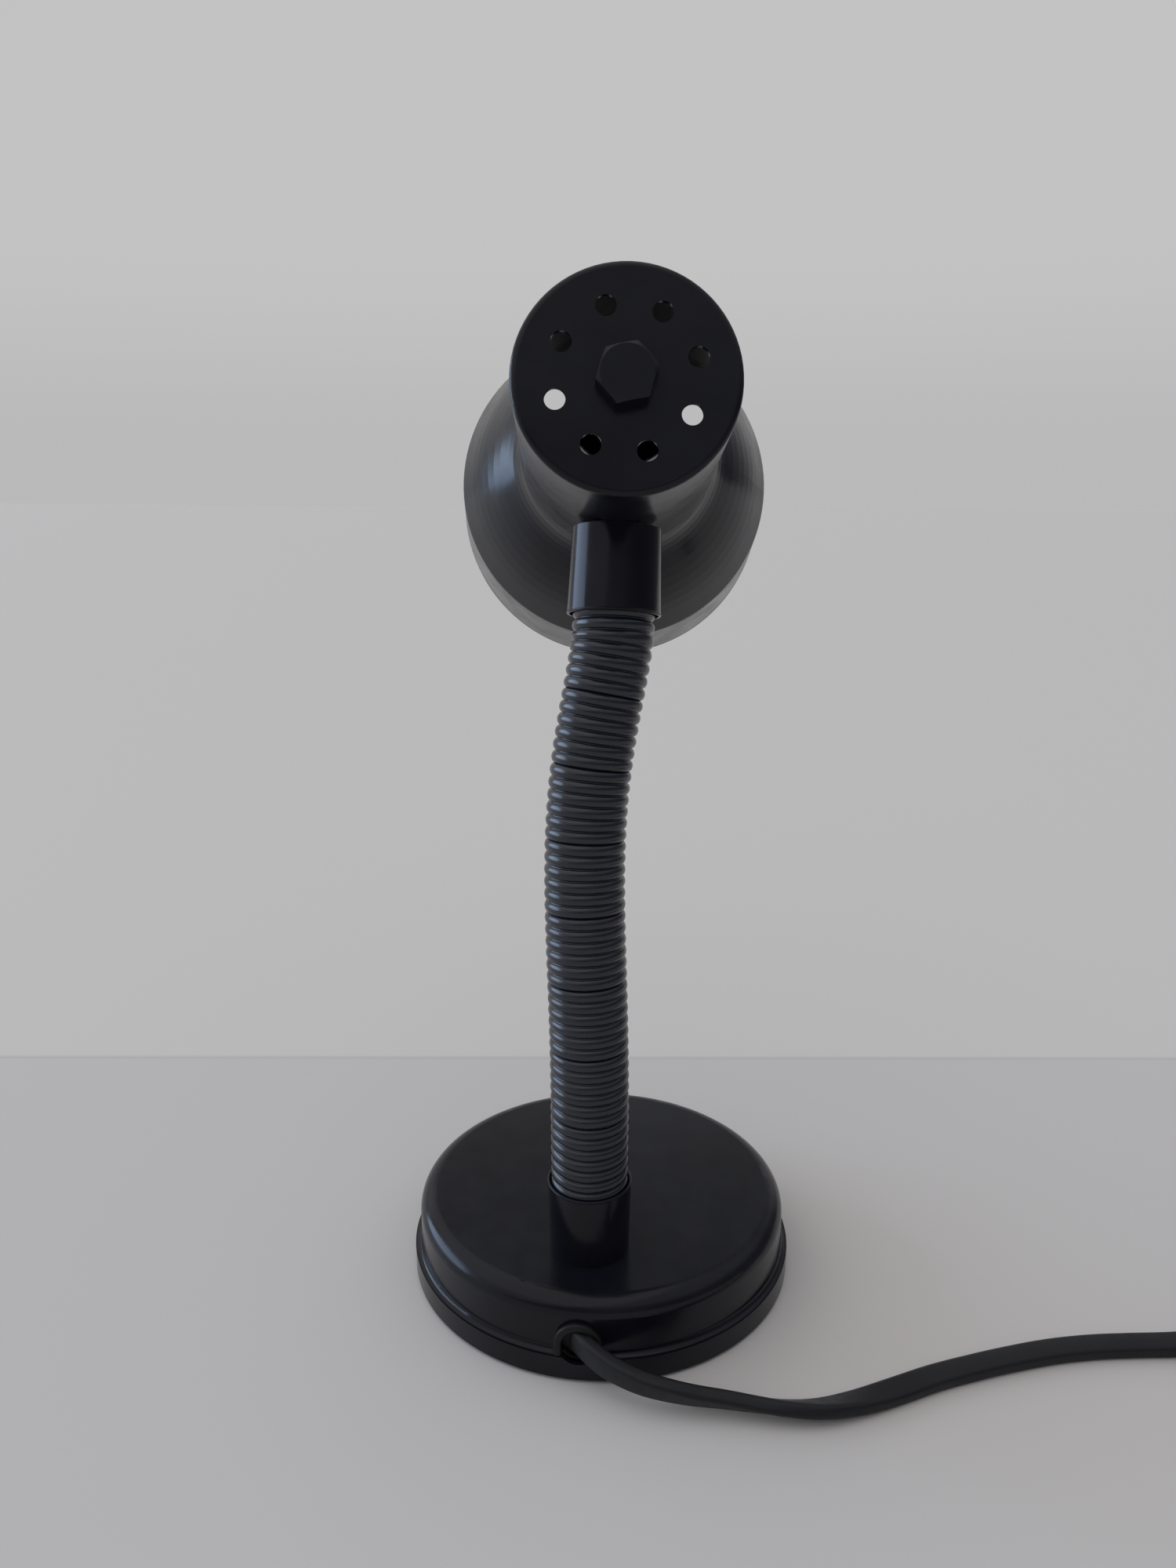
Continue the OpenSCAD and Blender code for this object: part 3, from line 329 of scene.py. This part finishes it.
def seat_places():
    """Lengths along the neck's middle line at which its ball seats lie."""
    first = (FOOT_COLLAR_L_MM - SLEEVE_FOOT_MM + SEAT_TO_COLLAR_MM) * MM
    last = LENGTHS[-1] - (HEAD_COLLAR_L_MM - SLEEVE_HEAD_MM + SEAT_TO_COLLAR_MM) * MM
    return [first + (last - first) * k / (SEATS - 1) for k in range(SEATS)]


LINE, LENGTHS = neck_line()
SEAT_AT = seat_places()


def on_line(s):
    """Place and heading on the neck's middle line after length s."""
    s = min(max(s, 0.0), LENGTHS[-1])
    k = max(i for i in range(len(LENGTHS) - 1) if LENGTHS[i] <= s)
    t = (s - LENGTHS[k]) / (LENGTHS[k + 1] - LENGTHS[k])
    place = LINE[k].lerp(LINE[k + 1], t)
    before, after = LINE[max(k - 1, 0)], LINE[min(k + 2, len(LINE) - 1)]
    return place, (after - before).normalized()


def ring_points(s, r):
    """A ring of radius r square to the neck's middle line after length s."""
    place, way = on_line(s)
    side = (Vector((1, 0, 0)) - way * way.x).normalized()
    other = way.cross(side)
    return [place + r * (side * math.cos(a) + other * math.sin(a))
            for a in (2 * math.pi * k / SLEEVE_SIDES for k in range(SLEEVE_SIDES))]


def sleeve_points(low, high, ribs, pitch):
    """Rings of the sleeve from rib low to rib high: up the ribs, and back down the bore."""
    points = []
    groove = RIB_DEPTH_MM * MM
    crest = SLEEVE_D_MM / 2 * MM
    for rib in range(low, high):
        from_end = min(rib, ribs - 1 - rib)
        held = COLLAR_HOLD_MM * MM * max(1 - from_end / HELD_RIBS, 0)
        for phase in RIB_PHASES:
            swell = math.sin(math.pi * phase) ** RIB_FULLNESS
            points += ring_points((rib + phase) * pitch, crest - held - groove * (1 - swell))
    points += ring_points(high * pitch, crest - groove)
    for i in range(BORE_STEPS + 1):
        s = (high - (high - low) * i / BORE_STEPS) * pitch
        points += ring_points(s, SLEEVE_BORE_MM / 2 * MM)
    return points


def make_sleeve():
    """One piece of sleeve to each ball seat, cut in the grooves between ribs."""
    total = LENGTHS[-1]
    ribs = int(total / (RIB_PITCH_MM * MM))
    pitch = total / ribs
    between = [round((a + b) / 2 / pitch) for a, b in zip(SEAT_AT, SEAT_AT[1:])]
    cuts = [0] + between + [ribs]
    pieces = []
    for k, (low, high) in enumerate(zip(cuts, cuts[1:])):
        name = "sleeve_%d" % (k + 1)
        points = sleeve_points(low, high, ribs, pitch)
        rings = len(points) // SLEEVE_SIDES
        piece = new_object(name, mesh_from(name, points,
                                           tube_faces(SLEEVE_SIDES, rings, closed=True)))
        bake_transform(piece)
        pieces.append(piece)
    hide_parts("neck_sleeve")
    return pieces


sleeve = make_sleeve()


# ---------------------------------------------------------------- materials
ENAMEL = (0.005, 0.0052, 0.0088)


def shades(color, factor, lift=0.0):
    """A colour made darker or paler by a factor, and lifted a little off black."""
    return tuple(c * factor + lift for c in color)


class Paint:
    """Builds one procedural material around a Principled shader."""

    def __init__(self, name, color, roughness, metallic=0.0, **sockets):
        self.material = bpy.data.materials.new(name)
        self.material.use_nodes = True
        self.tree = self.material.node_tree
        self.shader = self.tree.nodes["Principled BSDF"]
        self.shader.inputs["Base Color"].default_value = (*color, 1)
        self.shader.inputs["Roughness"].default_value = roughness
        self.shader.inputs["Metallic"].default_value = metallic
        for key, value in sockets.items():
            self.shader.inputs[key.replace("_", " ")].default_value = value
        self.where = self.tree.nodes.new("ShaderNodeTexCoord").outputs["Object"]
        self.bumped = None

    def noise(self, per_mm, detail, stretch=(1, 1, 1)):
        """Cloudy noise with so many waves to a millimetre."""
        place = self.tree.nodes.new("ShaderNodeMapping")
        place.inputs["Scale"].default_value = stretch
        self.tree.links.new(self.where, place.inputs["Vector"])
        node = self.tree.nodes.new("ShaderNodeTexNoise")
        node.inputs["Scale"].default_value = per_mm / MM
        node.inputs["Detail"].default_value = detail
        self.tree.links.new(place.outputs["Vector"], node.inputs["Vector"])
        return node.outputs["Fac"]

    def specks(self, per_mm, share):
        """A sparse pattern of small dots, such as dust, from 0 to 1."""
        node = self.tree.nodes.new("ShaderNodeTexVoronoi")
        node.inputs["Scale"].default_value = per_mm / MM
        self.tree.links.new(self.where, node.inputs["Vector"])
        return self.ramp(node.outputs["Distance"], [(0.0, 1.0), (share, 0.0)])

    def ramp(self, source, stops):
        """Turns a value into the colours, or greys, that stops gives at places from 0 to 1."""
        node = self.tree.nodes.new("ShaderNodeValToRGB")
        bar = node.color_ramp
        while len(bar.elements) < len(stops):
            bar.elements.new(0.5)
        for element, (place, value) in zip(bar.elements, stops):
            element.position = place
            element.color = (*value, 1) if isinstance(value, tuple) else (value, value, value, 1)
        self.tree.links.new(source, node.inputs["Fac"])
        return node.outputs["Color"]

    def color(self, source, stops):
        self.tree.links.new(self.ramp(source, stops), self.shader.inputs["Base Color"])

    def roughness(self, source, stops):
        self.tree.links.new(self.ramp(source, stops), self.shader.inputs["Roughness"])

    def bump(self, source, height_mm, strength=1.0):
        """Adds relief on top of what is there already."""
        node = self.tree.nodes.new("ShaderNodeBump")
        node.inputs["Strength"].default_value = strength
        node.inputs["Distance"].default_value = height_mm * MM
        self.tree.links.new(source, node.inputs["Height"])
        if self.bumped:
            self.tree.links.new(self.bumped, node.inputs["Normal"])
        self.bumped = node.outputs["Normal"]
        self.tree.links.new(self.bumped, self.shader.inputs["Normal"])


def enamel(name, roughness, peel_mm, gloss=0.27):
    """Black stove enamel with a faint orange peel and a little dust."""
    paint = Paint(name, ENAMEL, roughness, Specular_IOR_Level=gloss)
    paint.color(paint.noise(per_mm=0.03, detail=4), [(0.35, shades(ENAMEL, 0.8)),
                                                     (0.7, shades(ENAMEL, 1.5, lift=0.002))])
    paint.roughness(paint.noise(per_mm=0.12, detail=5),
                    [(0.3, roughness * 0.8), (0.75, roughness * 1.3)])
    paint.bump(paint.noise(per_mm=0.9, detail=2), height_mm=peel_mm)
    paint.bump(paint.specks(per_mm=0.11, share=0.05), height_mm=0.03, strength=0.6)
    return paint.material


def metal(name, base, roughness):
    """Plain turned or pressed metal, with streaks along one way."""
    paint = Paint(name, base, roughness, metallic=1.0)
    streaks = paint.noise(per_mm=0.8, detail=3, stretch=(1, 1, 14))
    paint.roughness(streaks, [(0.3, roughness * 0.7), (0.7, roughness * 1.4)])
    paint.color(paint.noise(per_mm=0.06, detail=3), [(0.3, shades(base, 0.85)), (0.7, base)])
    paint.bump(streaks, height_mm=0.008, strength=0.5)
    return paint.material


def moulded(name, base, roughness, grain_mm=0.02, per_mm=1.6, gloss=0.5):
    """Moulded plastic, rubber or cast metal: cloudy colour and an even grain."""
    paint = Paint(name, base, roughness, Specular_IOR_Level=gloss)
    paint.color(paint.noise(per_mm=0.05, detail=4),
                [(0.3, shades(base, 0.85)), (0.7, shades(base, 1.25))])
    paint.roughness(paint.noise(per_mm=0.4, detail=4),
                    [(0.3, roughness * 0.85), (0.7, roughness * 1.2)])
    paint.bump(paint.noise(per_mm, detail=3), height_mm=grain_mm, strength=0.6)
    return paint.material


def opal_glass(name):
    """White glass that lets light in a little way."""
    paint = Paint(name, (0.86, 0.85, 0.81), 0.16, Coat_Weight=0.5, Coat_Roughness=0.05,
                  Subsurface_Weight=0.25, Subsurface_Scale=0.004)
    paint.color(paint.noise(per_mm=0.02, detail=2),
                [(0.3, (0.84, 0.83, 0.79)), (0.7, (0.88, 0.87, 0.84))])
    paint.roughness(paint.noise(per_mm=0.08, detail=3), [(0.3, 0.13), (0.7, 0.2)])
    return paint.material


CORES = ["core_%d" % k for k in range(1, SEATS)]
# Each material, with the CAD nodes that wear it
FINISHES = [
    (enamel("base_enamel", 0.2, peel_mm=0.012), ["base_cover"]),
    (enamel("shade_enamel", 0.22, peel_mm=0.008), ["shade", "shade_bolt"]),
    (enamel("collar_enamel", 0.18, peel_mm=0.01, gloss=0.24), ["foot_collar", "head_collar"]),
    (moulded("cast_iron", (0.05, 0.05, 0.052), 0.7, grain_mm=0.15, per_mm=0.5),
     ["base_weight"]),
    (moulded("rubber", (0.005, 0.005, 0.0055), 0.5, grain_mm=0.03, per_mm=1.2, gloss=0.3),
     ["base_pad", "cord_grommet"]),
    (metal("zinc", (0.56, 0.56, 0.57), 0.32),
     ["base_plate", "plate_screws", "foot_ferrule", "foot_washer", "head_ferrule", "head_saddle",
      "holder_spacer", "switch_screws", "plug_pins"] + CORES),
    (metal("brass", (0.72, 0.53, 0.26), 0.28),
     ["foot_nut", "head_nut", "holder_nut", "holder_contact", "holder_shell", "bulb_contact"]),
    (metal("bulb_metal", (0.72, 0.72, 0.72), 0.3), ["bulb_cap"]),
    (moulded("holder_moulding", (0.012, 0.012, 0.012), 0.25), ["holder_cap", "holder_body"]),
    (moulded("insert_moulding", (0.7, 0.68, 0.63), 0.5), ["holder_insert"]),
    (opal_glass("opal_glass"), ["bulb_globe"]),
    (moulded("switch_moulding", (0.012, 0.012, 0.013), 0.38, grain_mm=0.03),
     ["switch_lower", "switch_upper", "plug_body"]),
    (moulded("rocker_moulding", (0.016, 0.016, 0.017), 0.25), ["switch_rocker"]),
]
for material, names in FINISHES:
    for name in names:
        nodes[name].data.materials.clear()
        nodes[name].data.materials.append(material)

sleeve_moulding = moulded("sleeve_moulding", (0.0065, 0.0086, 0.0158), 0.24,
                          grain_mm=0.006, per_mm=1.0, gloss=0.62)
for piece in sleeve:
    piece.data.materials.append(sleeve_moulding)
lead.data.materials.append(moulded("lead_moulding", (0.0105, 0.0108, 0.013), 0.42,
                                   grain_mm=0.02, per_mm=1.0, gloss=0.3))


# ---------------------------------------------------------------- floor
FLOOR_HALF = 6.0
TABLE = (0.71, 0.683, 0.649)
# Painted shade: a darker band along the table's far edge, where the table meets the wall
TABLE_EDGE_SHADE = (0.64, 0.619, 0.592)
FAR_FLOOR = (0.79, 0.7625, 0.718)
# The table's far edge: how far it is from the lamp's middle, and how wide its painted shade is
TABLE_EDGE_MM = 120.4
TABLE_EDGE_SHADE_MM = 4


def make_floor():
    """A pale table top and painted shade at its far edge; beyond it a floor in the wall's tone.
    """
    h = FLOOR_HALF
    corners = [(-h, -h, 0), (h, -h, 0), (h, h, 0), (-h, h, 0)]
    floor = new_object("floor", mesh_from("floor", corners, [(0, 1, 2, 3)]))
    paint = Paint("floor_paint", TABLE, 0.65)
    # The table's edge runs across the view, so its coordinates are turned to the camera's
    turn = paint.tree.nodes.new("ShaderNodeMapping")
    turn.inputs["Rotation"].default_value = (0, 0, -math.atan2(CAMERA_RIGHT.y, CAMERA_RIGHT.x))
    paint.tree.links.new(paint.where, turn.inputs["Vector"])
    split = paint.tree.nodes.new("ShaderNodeSeparateXYZ")
    paint.tree.links.new(turn.outputs["Vector"], split.inputs["Vector"])
    beyond = paint.tree.nodes.new("ShaderNodeMapRange")
    beyond.inputs["From Min"].default_value = TABLE_EDGE_MM * MM
    beyond.inputs["From Max"].default_value = (TABLE_EDGE_MM + TABLE_EDGE_SHADE_MM) * MM
    paint.tree.links.new(split.outputs["Y"], beyond.inputs["Value"])
    # The table, then a band of painted shade at its far edge, then the floor in the wall's tone
    paint.color(beyond.outputs["Result"], [(0.0, TABLE), (0.4, TABLE_EDGE_SHADE), (1.0, FAR_FLOOR)])
    floor.data.materials.append(paint.material)


# ---------------------------------------------------------------- lights
WALL = (0.55, 0.545, 0.55)
WALL_FOOT = (0.495, 0.488, 0.492)
ROOM = (0.185, 0.188, 0.21)
CORNER = (0.12, 0.12, 0.135)
CEILING = (0.2, 0.205, 0.22)
CEILING_BEHIND = (0.48, 0.485, 0.525)
BLACK, WHITE = (0, 0, 0), (1, 1, 1)
# Where one part of the room gives way to the next, by an axis of the direction one looks in
ROOM_TO_WALL_Y = (0.35, 0.85)
WALL_TO_CORNER_X = (0.36, 0.75)
FOOT_TO_WALL_Z = (0.0, 0.16)
WALL_TO_CEILING_Z = (0.34, 0.68)


def make_world():
    """A room in plain colours: a pale wall ahead of the camera, and a dimmer room behind it."""
    world = bpy.data.worlds.new("studio")
    world.use_nodes = True
    tree = world.node_tree
    where = tree.nodes.new("ShaderNodeTexCoord")
    split = tree.nodes.new("ShaderNodeSeparateXYZ")
    tree.links.new(where.outputs["Generated"], split.inputs["Vector"])

    def ramp(axis, places, colors=(BLACK, WHITE)):
        node = tree.nodes.new("ShaderNodeValToRGB")
        node.color_ramp.interpolation = "EASE"
        for element, place, color in zip(node.color_ramp.elements, places, colors):
            element.position = place
            element.color = (*color, 1)
        tree.links.new(split.outputs[axis], node.inputs["Fac"])
        return node.outputs["Color"]

    def mix(factor, a, b):
        node = tree.nodes.new("ShaderNodeMix")
        node.data_type = "RGBA"
        sockets = [s for s in node.inputs if s.type == "RGBA"]
        for socket, value in zip(sockets, (a, b)):
            if isinstance(value, tuple):
                socket.default_value = (*value, 1)
            else:
                tree.links.new(value, socket)
        tree.links.new(factor, node.inputs[0])
        return [s for s in node.outputs if s.type == "RGBA"][0]

    ahead = ramp("Y", ROOM_TO_WALL_Y)
    walls = mix(ahead, ROOM, ramp("Z", FOOT_TO_WALL_Z, (WALL_FOOT, WALL)))
    walls = mix(ramp("X", WALL_TO_CORNER_X), walls, CORNER)
    ceiling = mix(ahead, CEILING_BEHIND, CEILING)
    room = mix(ramp("Z", WALL_TO_CEILING_Z), walls, ceiling)
    tree.links.new(room, tree.nodes["Background"].inputs["Color"])
    bpy.context.scene.world = world


def sun(name, toward, power, spread, color):
    """A soft light from far away, which comes from the side that toward points to."""
    data = bpy.data.lights.new(name, "SUN")
    data.energy = power
    data.angle = math.radians(spread)
    data.color = color
    light = bpy.data.objects.new(name, data)
    light.rotation_euler = Vector(toward).to_track_quat("Z", "Y").to_euler()
    bpy.context.scene.collection.objects.link(light)


make_floor()
make_world()
sun("window", toward=(-0.98, 0.12, 0.1), power=1.75, spread=44, color=(0.53, 0.71, 1.0))
sun("ceiling", toward=(-0.6, -0.1, 0.8), power=0.72, spread=110, color=(1.0, 0.975, 0.93))
bpy.context.scene.view_settings.view_transform = "Standard"
